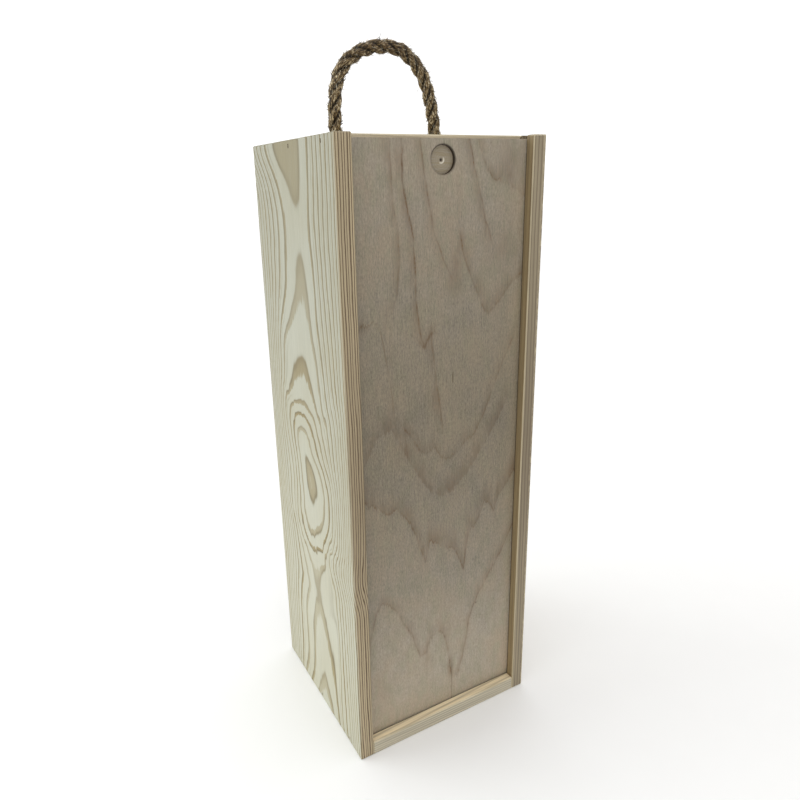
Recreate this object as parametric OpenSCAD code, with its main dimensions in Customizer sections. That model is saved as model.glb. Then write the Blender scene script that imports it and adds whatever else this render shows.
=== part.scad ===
// Wooden wine box for one bottle, standing upright.
// Two full-height side boards are bradded to a top board and a bottom board. A plywood back is
// held in grooves on all four sides. A plywood lid slides up and out of the front grooves.
// A stiff rope passes through two holes in the top board and is knotted under it.
// Frame: millimetres, +Z up, the lid faces -Y, origin at the middle of the base.

/* [Box] */
// Height of the side boards, and of the box
box_h = 350; // [300:1:400]
// Width across the side boards
box_w = 122; // [112:1:150]
// Depth of the side boards, front to back
box_d = 114; // [106:1:140]
// Thickness of the side boards
side_t = 8.5; // [7.5:0.5:12]
// Thickness of the top board and the bottom board
end_t = 9; // [8:0.5:12]
// Flat sanded on every long edge of the boards
edge_ease = 0.6; // [0.2:0.1:1]

/* [Lid and back] */
// Thickness of the plywood lid
lid_t = 4; // [3:0.5:5]
// Thickness of the plywood back
back_t = 4; // [3:0.5:5]
// Distance from the box's front edge to the face of the lid
lid_setback = 6; // [5:0.5:9]
// Distance from the box's back edge to the face of the back
back_setback = 6; // [5:0.5:9]
// Depth of the grooves in the side boards
groove_depth = 4; // [3:0.25:5]
// Depth of the grooves in the top board and the bottom board
end_groove_depth = 3; // [2:0.25:4]
// Height that the lid's top edge stays below the top of the box
lid_drop = 2; // [1:0.25:5]
// Clearance on each face of the lid in its grooves
lid_face_gap = 0.3; // [0.2:0.05:0.5]
// Clearance at each side edge of the lid in its grooves
lid_edge_gap = 0.4; // [0.2:0.05:0.8]

/* [Finger recess] */
// Diameter of the blind recess in the lid
recess_d = 14; // [10:0.5:18]
// Depth of the recess
recess_depth = 1.7; // [1:0.1:2]
// Distance from the lid's top edge to the recess's centre
recess_drop = 10; // [9.5:0.5:20]
// Diameter of the mark that the drill's centre point leaves
spur_d = 2.6; // [1.5:0.1:4]
// Depth of that mark below the recess's floor
spur_depth = 0.9; // [0.4:0.1:0.95]

/* [Rope handle] */
// Diameter of the rope
rope_d = 7.5; // [6:0.25:9]
// Distance between the two rope holes, centre to centre
hole_spacing = 63; // [56:1:70]
// Clearance round the rope in its hole
hole_gap = 0.5; // [0.3:0.1:1]
// Diameter across each knot
knot_d = 18; // [16:0.5:21]
// Height of each knot
knot_h = 14; // [12:0.5:18]
// Length of the frayed end below each knot
rope_end_len = 8; // [5:0.5:14]
// Clearance between the bending rope and the top board
rope_rest_gap = 0.3; // [0.2:0.1:0.6]

/* [Brads] */
// Length of a brad with its head
brad_len = 20; // [15:0.5:20]
// Thickness of a brad's wire
brad_wire = 1; // [0.8:0.1:1.2]
// Long side of a brad's head, which stands upright
brad_head = 2; // [1.6:0.1:2.6]
// Thickness of a brad's head along the brad
brad_head_t = 0.9; // [0.6:0.1:1.2]
// Depth that a brad's head is driven below the face of the side board
brad_sink = 0.8; // [0.4:0.1:1.2]
// Distance from the ends of the box to the brads' centres
brad_end_inset = 3; // [2.5:0.25:3.5]
// Distance from the front of the box to each row's first brad
brad_face_inset = 15.5; // [14:0.5:24]
// Distance between the two brads of a row
brad_step = 41.5; // [30:0.5:55]

/* [Hidden] */
$fn = 64;

inner_w = box_w - 2 * side_t;
front_y = -box_d / 2;
back_y = box_d / 2;

// Grooves: the lid's runs with clearance, the back's is a push fit
lid_groove_w = lid_t + 2 * lid_face_gap;
lid_groove_y = front_y + lid_setback - lid_face_gap;
back_groove_y = back_y - back_setback - back_t;
lid_foot_z = end_t - end_groove_depth;
lid_top_z = box_h - lid_drop;
lid_w = inner_w + 2 * (groove_depth - lid_edge_gap);
back_w = inner_w + 2 * groove_depth;
back_foot_z = end_t - end_groove_depth;
back_top_z = box_h - end_t + end_groove_depth;

// The top board starts right behind the lid's groove
top_front_y = lid_groove_y + lid_groove_w;
hole_y = (top_front_y + back_y) / 2;
hole_d = rope_d + 2 * hole_gap;
top_under_z = box_h - end_t;

// The rope bends about a line that lies just over the mouths of its holes
rope_pivot_z = box_h + rope_rest_gap + rope_d / 2;
// Middle line of the rope's free arch: sideways from the middle and up from the box's top
rope_route_span = 63;
rope_route = [[-31.5, 12], [-31, 20], [-29.5, 29], [-25, 37.5], [-17, 44], [-8, 47.5], [1, 48.5],
              [9.5, 47], [17, 42], [23.5, 34.5], [28, 23.5], [30.5, 12]];
rope_sides = 12;
rope_steps = 2;
rope_cap_rings = 3;

// Knot: two turns of rope pulled tight into each other, the upper one flattened by the board
knot_turn_bite = 0.6;
knot_turn_r = knot_h / 4 + knot_turn_bite;
knot_flat = 0.4;
// The free end frays, and is this much wider at its tip
fray_spread = 1;

// Overshoot of a cut that breaks through a face, and of shapes that run into each other
over = 1;

module eased_side(a, b) {
    e = edge_ease;
    polygon([[e, 0], [a - e, 0], [a, e], [a, b - e], [a - e, b], [e, b], [0, b - e], [0, e]]);
}

// A board from a low corner, with every edge eased
module eased_board(low, size) {
    translate(low) intersection() {
        linear_extrude(size[2]) eased_side(size[0], size[1]);
        translate([0, size[1], 0]) rotate([90, 0, 0]) linear_extrude(size[1]) eased_side(size[0], size[2]);
        rotate([90, 0, 90]) linear_extrude(size[0]) eased_side(size[1], size[2]);
    }
}

// One brad, its head's outer face at the origin and its point along +X
module brad() {
    translate([0, -brad_wire / 2, -brad_head / 2]) cube([brad_head_t, brad_wire, brad_head]);
    translate([0, -brad_wire / 2, -brad_wire / 2]) cube([brad_len, brad_wire, brad_wire]);
}

// The pit that a brad's head leaves in the face of the board
module brad_pit() {
    translate([-brad_sink - over, -brad_wire / 2, -brad_head / 2])
        cube([brad_sink + over, brad_wire, brad_head]);
}

// Puts its children at both brads of one row on the left side
module brad_row(z) {
    for (i = [0 : 1])
        translate([-box_w / 2 + brad_sink, front_y + brad_face_inset + i * brad_step, z]) children();
}

module brad_rows() {
    brad_row(brad_end_inset) children();
    brad_row(box_h - brad_end_inset) children();
}

module to_right() {
    mirror([1, 0, 0]) children();
}

module side_board() {
    color("#cdc6ae") difference() {
        eased_board([-box_w / 2, front_y, 0], [side_t, box_d, box_h]);
        translate([-inner_w / 2 - groove_depth, lid_groove_y, -over])
            cube([groove_depth + over, lid_groove_w, box_h + 2 * over]);
        translate([-inner_w / 2 - groove_depth, back_groove_y, -over])
            cube([groove_depth + over, back_t, box_h + 2 * over]);
        brad_rows() brad();
        brad_rows() brad_pit();
    }
}

module side_board_left() {
    side_board();
}

module side_board_right() {
    to_right() side_board();
}

module rope_hole(side) {
    translate([side * hole_spacing / 2, hole_y, top_under_z - over])
        cylinder(d = hole_d, h = end_t + 2 * over);
}

module top_board() {
    color("#c9bb98") difference() {
        eased_board([-inner_w / 2, top_front_y, top_under_z], [inner_w, back_y - top_front_y, end_t]);
        translate([-inner_w / 2 - over, back_groove_y, top_under_z - over])
            cube([inner_w + 2 * over, back_t, end_groove_depth + over]);
        rope_hole(-1);
        rope_hole(1);
        brad_row(box_h - brad_end_inset) brad();
        to_right() brad_row(box_h - brad_end_inset) brad();
    }
}

module bottom_board() {
    color("#c9bb98") difference() {
        eased_board([-inner_w / 2, front_y, 0], [inner_w, box_d, end_t]);
        translate([-inner_w / 2 - over, lid_groove_y, lid_foot_z])
            cube([inner_w + 2 * over, lid_groove_w, end_groove_depth + over]);
        translate([-inner_w / 2 - over, back_groove_y, back_foot_z])
            cube([inner_w + 2 * over, back_t, end_groove_depth + over]);
        brad_row(brad_end_inset) brad();
        to_right() brad_row(brad_end_inset) brad();
    }
}

// The back fills the grooves of all four boards; its corners stop at the side boards' grooves
module back_panel() {
    color("#a89d85")
        translate([-back_w / 2, back_groove_y, back_foot_z])
            cube([back_w, back_t, back_top_z - back_foot_z]);
}

module sliding_lid() {
    recess_z = lid_top_z - recess_drop;
    face_y = front_y + lid_setback;
    color("#93897a") difference() {
        translate([-lid_w / 2, face_y, lid_foot_z]) cube([lid_w, lid_t, lid_top_z - lid_foot_z]);
        translate([0, face_y - over, recess_z]) rotate([-90, 0, 0])
            cylinder(d = recess_d, h = recess_depth + over);
        translate([0, face_y + recess_depth, recess_z]) rotate([-90, 0, 0])
            cylinder(d1 = spur_d, d2 = 0, h = spur_depth);
    }
}

module brads_left_top() {
    color("#5f5c57") brad_row(box_h - brad_end_inset) brad();
}

module brads_left_bottom() {
    color("#5f5c57") brad_row(brad_end_inset) brad();
}

module brads_right_top() {
    to_right() brads_left_top();
}

module brads_right_bottom() {
    to_right() brads_left_bottom();
}

// A smooth curve through four points, at share t between the second and the third
function through(a, b, c, d, t) =
    0.5 * (2 * b + t * (c - a) + t * t * (2 * a - 5 * b + 4 * c - d) + t * t * t * (3 * b - a - 3 * c + d));

// The route in space, from pivot line to pivot line
function route_point(p) = [p[0] * hole_spacing / rope_route_span, hole_y, box_h + p[1]];
function foot_point(side) = [side * hole_spacing / 2, hole_y, rope_pivot_z];
rope_points = concat([foot_point(-1)], [for (p = rope_route) route_point(p)], [foot_point(1)]);

function rope_line(p) = [
    for (i = [0 : len(p) - 2])
        for (k = [0 : rope_steps - 1])
            through(p[max(i - 1, 0)], p[i], p[i + 1], p[min(i + 2, len(p) - 1)], k / rope_steps),
    p[len(p) - 1]
];

function unit(v) = v / norm(v);
function heading(p, i) = unit(p[min(i + 1, len(p) - 1)] - p[max(i - 1, 0)]);

// One ring of the tube, round centre c, square to direction f, in the arch's own plane
function ring(c, f, r) = [
    for (k = [0 : rope_sides - 1])
        let (a = 360 * k / rope_sides)
        c + r * (cos(a) * [0, 1, 0] + sin(a) * cross(f, [0, 1, 0]))
];

// Rings that round one end off, from the tip inwards; way is -1 at the start and 1 at the end
function cap(c, f, way) = [
    for (k = [1 : rope_cap_rings])
        let (a = 90 * k / (rope_cap_rings + 1))
        ring(c + way * f * rope_d / 2 * cos(a), f, rope_d / 2 * sin(a))
];

function reversed(v) = [for (i = [len(v) - 1 : -1 : 0]) v[i]];
function flat(v) = [for (row = v) each row];

module rope_handle() {
    line = rope_line(rope_points);
    last = len(line) - 1;
    up = [0, 0, 1];
    middle = [for (i = [1 : last - 1]) ring(line[i], heading(line, i), rope_d / 2)];
    start_rings = concat(cap(line[0], up, -1), [ring(line[0], up, rope_d / 2)]);
    end_rings = concat([ring(line[last], -up, rope_d / 2)], reversed(cap(line[last], -up, 1)));
    rings = concat(start_rings, middle, end_rings);
    tips = [line[0] - up * rope_d / 2, line[last] - up * rope_d / 2];
    n = rope_sides;
    m = len(rings);
    walls = [for (i = [0 : m - 2]) for (k = [0 : n - 1])
        each [[i * n + k, (i + 1) * n + k, i * n + (k + 1) % n],
              [i * n + (k + 1) % n, (i + 1) * n + k, (i + 1) * n + (k + 1) % n]]];
    ends = [for (k = [0 : n - 1])
        each [[m * n, k, (k + 1) % n], [m * n + 1, (m - 1) * n + (k + 1) % n, (m - 1) * n + k]]];
    color("#5d5240") polyhedron(points = concat(flat(rings), tips), faces = concat(walls, ends));
}

// The rope through its hole, the knot that bears on the top board's underside and the free end
module rope_end(side) {
    turn_x = knot_d / 2 - knot_turn_r;
    color("#5d5240") translate([side * hole_spacing / 2, hole_y, top_under_z]) {
        cylinder(d = rope_d, h = end_t);
        rotate_extrude() {
            intersection() {
                union() {
                    translate([turn_x, knot_flat - knot_turn_r]) circle(knot_turn_r);
                    translate([turn_x, knot_turn_r - knot_h]) circle(knot_turn_r);
                }
                translate([0, -knot_h]) square([knot_d, knot_h]);
            }
            translate([0, -knot_h + over]) square([turn_x, knot_h - over]);
        }
        translate([0, 0, -knot_h - rope_end_len])
            cylinder(d1 = rope_d + fray_spread, d2 = rope_d, h = rope_end_len + 2 * over);
    }
}

module rope_end_left() {
    rope_end(-1);
}

module rope_end_right() {
    rope_end(1);
}

side_board_left();
side_board_right();
top_board();
bottom_board();
back_panel();
sliding_lid();
brads_left_top();
brads_left_bottom();
brads_right_top();
brads_right_bottom();
rope_handle();
rope_end_left();
rope_end_right();
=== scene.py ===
import math

import bmesh
import bpy
import numpy as np
from mathutils import Matrix, Vector, noise


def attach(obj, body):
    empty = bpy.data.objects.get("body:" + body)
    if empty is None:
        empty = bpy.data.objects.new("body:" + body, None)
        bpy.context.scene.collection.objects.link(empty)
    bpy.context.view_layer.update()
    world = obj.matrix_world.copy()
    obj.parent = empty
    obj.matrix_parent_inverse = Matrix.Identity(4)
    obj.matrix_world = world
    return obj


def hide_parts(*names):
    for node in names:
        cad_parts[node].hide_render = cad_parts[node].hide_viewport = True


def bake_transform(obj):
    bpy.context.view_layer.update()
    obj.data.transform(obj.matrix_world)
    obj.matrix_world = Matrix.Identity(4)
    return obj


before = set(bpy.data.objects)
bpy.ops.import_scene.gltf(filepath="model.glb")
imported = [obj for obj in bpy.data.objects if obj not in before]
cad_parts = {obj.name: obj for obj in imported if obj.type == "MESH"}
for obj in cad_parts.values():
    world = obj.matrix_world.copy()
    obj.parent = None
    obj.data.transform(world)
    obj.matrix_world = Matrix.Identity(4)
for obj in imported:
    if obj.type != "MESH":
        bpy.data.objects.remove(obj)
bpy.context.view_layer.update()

MM = 0.001


# ------------------------------------------------------------
# The view: the box stands with its left side towards the camera, which is a
# little over 300 mm from the floor, close to it, and looks slightly down.
picture_width = 800
sensor_width = 36.0
camera_place = (-0.18798, -0.33141, 0.32795)
camera_heading = math.radians(28.44)
camera_pitch = math.radians(16.99)
camera_roll = math.radians(-1.43)
focal_pixels = 647.161
axis_pixel = (384.08, 380.28)

look = Vector((
    math.sin(camera_heading) * math.cos(camera_pitch),
    math.cos(camera_heading) * math.cos(camera_pitch),
    -math.sin(camera_pitch),
))
level = Vector((math.cos(camera_heading), -math.sin(camera_heading), 0.0))
upright = level.cross(look)
camera_right = math.cos(camera_roll) * level + math.sin(camera_roll) * upright
camera_up = math.cos(camera_roll) * upright - math.sin(camera_roll) * level


def placed(name, data):
    """A new object in the scene."""
    piece = bpy.data.objects.new(name, data)
    bpy.context.scene.collection.objects.link(piece)
    return piece


camera_data = bpy.data.cameras.new("camera")
camera_data.sensor_width = sensor_width
camera_data.lens = sensor_width * focal_pixels / picture_width
camera_data.shift_x = (picture_width / 2 - axis_pixel[0]) / picture_width
camera_data.shift_y = -(picture_width / 2 - axis_pixel[1]) / picture_width
camera_data.clip_start = 0.01
camera = placed("camera", camera_data)
turn = Matrix((camera_right, camera_up, -look)).transposed()
camera.matrix_world = Matrix.Translation(camera_place) @ turn.to_4x4()
bpy.context.scene.camera = camera


# ------------------------------------------------------------
# Rope handle: a hard three-strand jute rope, laid right-handed, that rises
# from two holes in the top board and springs up into an arch by itself.
class Wire:
    """A socket of a node tree. A sum written with it adds the Math nodes."""

    def __init__(self, tree, socket):
        self.tree = tree
        self.socket = socket

    def sum(self, operation, first, second=0.0):
        return self.tree.add("ShaderNodeMath", {0: first, 1: second}, operation=operation)

    def __add__(self, other):
        return self.sum("ADD", self, other)

    __radd__ = __add__

    def __sub__(self, other):
        return self.sum("SUBTRACT", self, other)

    def __rsub__(self, other):
        return self.sum("SUBTRACT", other, self)

    def __mul__(self, other):
        return self.sum("MULTIPLY", self, other)

    __rmul__ = __mul__

    def __truediv__(self, other):
        return self.sum("DIVIDE", self, other)

    def __rtruediv__(self, other):
        return self.sum("DIVIDE", other, self)

    def __pow__(self, other):
        return self.sum("POWER", self, other)

    def __neg__(self):
        return self.sum("MULTIPLY", self, -1.0)

    def __abs__(self):
        return self.sum("ABSOLUTE", self)

    def sine(self):
        return self.sum("SINE", self)

    def cosine(self):
        return self.sum("COSINE", self)

    def part(self):
        """What is left over the whole number below."""
        return self.sum("FRACT", self)

    def most(self, other):
        """The larger of the two."""
        return self.sum("MAXIMUM", self, other)

    def other(self, output):
        """Another output of the node that this one comes from."""
        return Wire(self.tree, self.socket.node.outputs[output])

    def bell(self, middle, width):
        """1 at the middle, falling off to nothing about two widths away."""
        away = (self - middle) / width
        return self.sum("EXPONENT", -(away * away))

    def rise(self, low, high):
        """0 below low, 1 above high, smooth between them."""
        return self.tree.add(
            "ShaderNodeMapRange",
            {"Value": self, "From Min": low, "From Max": high},
            interpolation_type="SMOOTHSTEP",
        )

    def fall(self, low, high):
        """1 below low, 0 above high, smooth between them."""
        return 1.0 - self.rise(low, high)


class Tree:
    """A node tree under construction."""

    def __init__(self, tree):
        self.tree = tree

    def add(self, kind, values=None, out=0, **settings):
        """A new node: its settings, then its inputs' values or links. Gives the output out."""
        node = self.tree.nodes.new(kind)
        for name, setting in settings.items():
            if name == "stops":
                self.set_stops(node.color_ramp.elements, setting)
            elif name == "line":
                self.set_line(node.mapping, *setting)
            else:
                setattr(node, name, setting)
        for name, value in (values or {}).items():
            socket = node.inputs[name]
            if isinstance(value, Wire):
                self.tree.links.new(value.socket, socket)
            elif value is not None:
                socket.default_value = value
        return Wire(self, node.outputs[out]) if len(node.outputs) else node

    @staticmethod
    def set_stops(elements, stops):
        """Gives a colour ramp its stops."""
        while len(elements) < len(stops):
            elements.new(0.5)
        for element, (place, colour) in zip(elements, stops):
            element.position = place
            element.color = colour

    @staticmethod
    def set_line(mapping, places, handle):
        """Gives a Float Curve the places of its points, and how the line passes them."""
        mapping.use_clip = False
        points = mapping.curves[0].points
        while len(points) < len(places):
            points.new(0.5, 0.5)
        for point, place in zip(points, places):
            point.location = place
            point.handle_type = handle
        mapping.update()

    def vector(self, operation, *terms, out=0):
        """Vector Math on the terms."""
        values = dict(enumerate(terms))
        if operation == "SCALE":
            values = {0: terms[0], "Scale": terms[1]}
        return self.add("ShaderNodeVectorMath", values, out, operation=operation)

    def place(self, x, y, z):
        """A vector of three parts."""
        return self.add("ShaderNodeCombineXYZ", {"X": x, "Y": y, "Z": z})

    def parts(self, vector):
        """The three parts of a vector."""
        split = self.add("ShaderNodeSeparateXYZ", {"Vector": vector})
        return [split.other(axis) for axis in "XYZ"]

    def coordinates(self, kind):
        """Where the point is, or which way it faces, by the name of the node's output."""
        return self.add("ShaderNodeTexCoord", out=kind)

    def cloud(self, where, scale, detail=2.0, roughness=0.5):
        """Noise of about 0 to 1 at that place, in features of 1/scale."""
        values = {"Vector": where, "Scale": scale, "Detail": detail, "Roughness": roughness}
        return self.add("ShaderNodeTexNoise", values)

    def mottle(self, x, y, z, detail=2.0, roughness=0.5):
        """Noise of about 0 to 1, in features of 1 along x, y and z."""
        return self.cloud(self.place(x, y, z), 1.0, detail, roughness)

    def mix(self, share, first, second, blend="MIX"):
        """Colour between first and second. The Mix node numbers its colour sockets 6, 7 and 2."""
        return self.add(
            "ShaderNodeMix",
            {0: share, 6: first, 7: second},
            out=2,
            data_type="RGBA",
            blend_type=blend,
        )

    def ramp(self, value, *stops):
        """The colour that the stops give at that value."""
        return self.add("ShaderNodeValToRGB", {"Fac": value}, stops=stops)

    def tone(self, level):
        """A grey of that strength."""
        values = dict.fromkeys(("Red", "Green", "Blue"), level)
        return self.add("ShaderNodeCombineColor", values)

    def toned(self, colour, level):
        """The colour made lighter or darker by that factor."""
        grey = self.tone(level)
        return self.mix(1.0, colour, grey, "MULTIPLY")

    def keep(self, geometry, name, value, kind="FLOAT", domain="POINT"):
        """The geometry with the value stored on it under that name."""
        return self.add(
            "GeometryNodeStoreNamedAttribute",
            {"Geometry": geometry, "Name": name, "Value": value},
            data_type=kind,
            domain=domain,
        )

    def kept(self, name, kind="FLOAT"):
        """The value that is stored on the geometry under that name."""
        return self.add("GeometryNodeInputNamedAttribute", {"Name": name}, data_type=kind)

    def tube(self, curve, ring):
        """A closed tube along the curve, with the ring as its section."""
        values = {"Curve": curve, "Profile Curve": ring, "Fill Caps": True}
        return self.add("GeometryNodeCurveToMesh", values)


def shade(red, green, blue):
    """A colour given as it looks on a screen, 0 to 255, as the renderer wants it."""
    def lit(level):
        level = level / 255
        return level / 12.92 if level <= 0.04045 else ((level + 0.055) / 1.055) ** 2.4

    return (lit(red), lit(green), lit(blue), 1.0)


class Finish(Tree):
    """A material of one shader, and the nodes that feed it."""

    def __init__(self, name):
        self.material = bpy.data.materials.new(name)
        self.material.use_nodes = True
        super().__init__(self.material.node_tree)
        self.tree.nodes.clear()

    def stored(self, name, output="Fac"):
        """The value that is stored on the mesh under that name."""
        return self.add("ShaderNodeAttribute", out=output, attribute_name=name)

    def surface(self, colour, roughness, height=None, depth=0.0, normal_strength=1.0, **fixed):
        """Closes the finish. height times depth is the relief in metres."""
        values = {"Base Color": colour, "Roughness": roughness, **fixed}
        if height is not None:
            values["Normal"] = self.add(
                "ShaderNodeBump", {"Strength": normal_strength, "Distance": depth, "Height": height}
            )
        shader = self.add("ShaderNodeBsdfPrincipled", values)
        self.add("ShaderNodeOutputMaterial", {"Surface": shader})
        return self.material


def geometry_tree(name, numbers):
    """A Geometry Nodes tree with an input for each of the numbers, and those inputs' sockets."""
    tree = bpy.data.node_groups.new(name, "GeometryNodeTree")
    tree.interface.new_socket("Geometry", in_out="INPUT", socket_type="NodeSocketGeometry")
    tree.interface.new_socket("Geometry", in_out="OUTPUT", socket_type="NodeSocketGeometry")
    for size, value in numbers.items():
        kind = {float: "Float", int: "Int"}.get(type(value), "Material")
        tree.interface.new_socket(size, in_out="INPUT", socket_type="NodeSocket" + kind)
    entry = tree.nodes.new("NodeGroupInput")
    work = Tree(tree)
    return work, {socket.name: Wire(work, socket) for socket in entry.outputs if socket.name}


def close_tree(work, geometry, material):
    """Ends a tree in real geometry with its material on it."""
    real = work.add("GeometryNodeRealizeInstances", {"Geometry": geometry})
    dressed = work.add("GeometryNodeSetMaterial", {"Geometry": real, "Material": material})
    leave = work.tree.nodes.new("NodeGroupOutput")
    work.tree.links.new(dressed.socket, leave.inputs[0])


def grown(name, start_mesh, work, numbers):
    """The plain mesh that a tree makes from start_mesh with those numbers, as a new object."""
    host = placed(name + "_host", start_mesh)
    modifier = host.modifiers.new(name, "NODES")
    modifier.node_group = work.tree
    for item in work.tree.interface.items_tree:
        if item.name in numbers:
            modifier[item.identifier] = numbers[item.name]
    depsgraph = bpy.context.evaluated_depsgraph_get()
    mesh = bpy.data.meshes.new_from_object(host.evaluated_get(depsgraph))
    mesh.name = name
    bpy.data.objects.remove(host)
    return placed(name, mesh)


rope_d = 7.5 * MM
rope_hole_x = 31.5 * MM
rope_hole_y = 5.15 * MM
box_top = 350 * MM
top_board_t = 9 * MM
strand_count = 3
first_strand_angle = 0.6
lay_unevenness = 0.16
points_per_yarn = 4

# Middle line of the arch, from the middle of the box and up from its top, in millimetres
arch = [
    (-31.5, 4.05), (-31.5, 12), (-31, 20), (-29.5, 29), (-25, 37.5), (-17, 43.7), (-8, 47),
    (1, 47.9), (9.5, 46.7), (17, 42), (23.5, 34.5), (28, 23.5), (30.5, 12), (31.5, 4.05),
]


def through(before, start, end, after, share):
    """A point of the smooth line from start to end."""
    return 0.5 * (
        2 * start
        + (end - before) * share
        + (2 * before - 5 * start + 4 * end - after) * share ** 2
        + (3 * start - before - 3 * end + after) * share ** 3
    )


def smooth_line(points, steps):
    """A smooth line through the points, with that many steps from each to the next."""
    points = [np.array(p, float) for p in points]
    line = []
    for i in range(len(points) - 1):
        before = points[max(i - 1, 0)]
        after = points[min(i + 2, len(points) - 1)]
        for k in range(steps):
            line.append(through(before, points[i], points[i + 1], after, k / steps))
    line.append(points[-1])
    return np.array(line)


def line_mesh(name, line):
    mesh = bpy.data.meshes.new(name)
    edges = [(i, i + 1) for i in range(len(line) - 1)]
    mesh.from_pydata([tuple(p) for p in line], edges, [])
    return mesh


def line_length(line):
    return float(np.linalg.norm(np.diff(line, axis=0), axis=1).sum())


hole_tail = [(-31.5, -9.0), (-31.5, -4.0), (-31.5, 0.0)]
route = hole_tail + arch + [(-x, z) for x, z in reversed(hole_tail)]
rope_line = smooth_line([(x * MM, rope_hole_y, box_top + z * MM) for x, z in route], 6)

# Brown jute: long shiny fibres, pale and dark ones side by side along each yarn; the near-white top
# of the ramp is a painted highlight for their glints
jute = Finish("jute_strand")
turn_place = jute.stored("turn", "Vector")
run_place = jute.stored("run")
strand_number = jute.stored("strand")
along = jute.place(0.0, 0.0, run_place * 0.36 + strand_number * 31.0)
narrow = jute.vector("ADD", jute.vector("SCALE", turn_place, 2.2), along)
broad = jute.vector("ADD", jute.vector("SCALE", turn_place, 0.8), along)
fine = jute.cloud(narrow, 2.4, 3.0, 0.65)
streak = jute.cloud(broad, 2.0, 2.0, 0.6)
patch = jute.cloud(jute.coordinates("Object"), 160.0)
tone = fine * 0.40 + streak * 0.60
colour = jute.ramp(
    tone,
    (0.40, shade(24, 16, 6)),
    (0.47, shade(86, 66, 33)),
    (0.54, shade(148, 122, 75)),
    (0.605, shade(254, 240, 204)),
)
colour = jute.mix((patch - 0.4) * 0.8, colour, shade(124, 104, 72), "MULTIPLY")
# Painted shade: the top of the arch is darker
arch_top_shade = run_place.bell(74.0, 24.0)
colour = jute.mix(arch_top_shade * 0.72, colour, shade(150, 130, 96), "MULTIPLY")
# Painted shade in the hollows between the strands, where they lie near the rope's core
colour = jute.mix(jute.stored("crown").fall(2.4, 3.45) * 0.9, colour, shade(22, 15, 6))
jute_strand = jute.surface(colour, 0.62, tone, 0.5 * MM, 0.75)

# Single fibres of the same jute, each of one tone; the near-white end of the ramp is a painted
# highlight for glints on the fibres
fibre = Finish("jute_fibre")
colour = fibre.ramp(
    fibre.stored("tint"),
    (0.0, shade(30, 20, 8)),
    (0.48, shade(102, 78, 38)),
    (0.74, shade(182, 153, 94)),
    (0.84, shade(252, 244, 220)),
)
jute_fibre = fibre.surface(colour, 0.55)

rope_numbers = {
    "Step": 0.55 * MM,
    "Lay": 25 * MM,
    "Strand offset": 1.86 * MM,
    "Strand radius": 1.76 * MM,
    "Yarns": 7,
    "Yarn relief": 0.075,
    "Yarn lay": 24 * MM,
    "Material": jute_strand,
}
fuzz_numbers = {
    "Density": 600000.0,
    "Fibre length": 1.45 * MM,
    "Fibre radius": 0.10 * MM,
    "Seed": 3,
    "Material": jute_fibre,
}

# The strands follow the rope's line: three helices, each a bundle of yarns laid the other way
strands, given = geometry_tree("laid_rope", rope_numbers)
full_turn = 2 * math.pi
rail = strands.add("GeometryNodeMeshToCurve", {"Mesh": given["Geometry"]})
rail = strands.add(
    "GeometryNodeResampleCurve", {"Curve": rail, "Length": given["Step"]}, mode="LENGTH"
)
run = strands.add("GeometryNodeSplineParameter", out="Length")
twins = strands.add(
    "GeometryNodeDuplicateElements", {"Geometry": rail, "Amount": strand_count}, domain="SPLINE"
)
number = twins.other("Duplicate Index")
rail = strands.keep(twins, "run", run / MM)
rail = strands.keep(rail, "strand", number)
heading = strands.add("GeometryNodeInputTangent")
outward = strands.add("GeometryNodeInputNormal")
sideways = strands.vector("CROSS_PRODUCT", heading, outward)
angle = run / given["Lay"] * full_turn + number * (full_turn / strand_count) + first_strand_angle
wobble = strands.mottle(run / MM * 0.11, number * 7.3, 0.0, 1.0) - 0.5
reach = given["Strand offset"] * (1.0 + wobble * lay_unevenness)
shift = strands.vector(
    "ADD",
    strands.vector("SCALE", outward, angle.cosine() * reach),
    strands.vector("SCALE", sideways, angle.sine() * reach),
)
rail = strands.keep(rail, "core", strands.add("GeometryNodeInputPosition"), "FLOAT_VECTOR")
rail = strands.add("GeometryNodeSetPosition", {"Geometry": rail, "Offset": shift})
yarn_twist = strands.kept("run") * MM / given["Yarn lay"] * full_turn
rail = strands.add("GeometryNodeSetCurveTilt", {"Curve": rail, "Tilt": -yarn_twist})
rail = strands.keep(rail, "lead", strands.add("GeometryNodeInputTangent"), "FLOAT_VECTOR")
ring = strands.add(
    "GeometryNodeCurvePrimitiveCircle",
    {"Resolution": given["Yarns"] * points_per_yarn, "Radius": given["Strand radius"]},
    mode="RADIUS",
)
round_share = strands.add("GeometryNodeSplineParameter")
yarn_wave = (round_share * full_turn * given["Yarns"]).cosine()
ring_place = strands.add("GeometryNodeInputPosition")
swell = strands.vector("SCALE", ring_place, yarn_wave * given["Yarn relief"])
ring = strands.add("GeometryNodeSetPosition", {"Geometry": ring, "Offset": swell})
ring = strands.keep(ring, "turn", strands.vector("SCALE", ring_place, 1 / MM), "FLOAT_VECTOR")
tube = strands.tube(rail, ring)
core = strands.kept("core", "FLOAT_VECTOR")
from_core = strands.vector("SUBTRACT", strands.add("GeometryNodeInputPosition"), core)
tube = strands.keep(tube, "crown", strands.vector("LENGTH", from_core, out="Value") / MM)
tube = strands.add("GeometryNodeSetShadeSmooth", {"Geometry": tube, "Shade Smooth": True})
close_tree(strands, tube, given["Material"])

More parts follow.
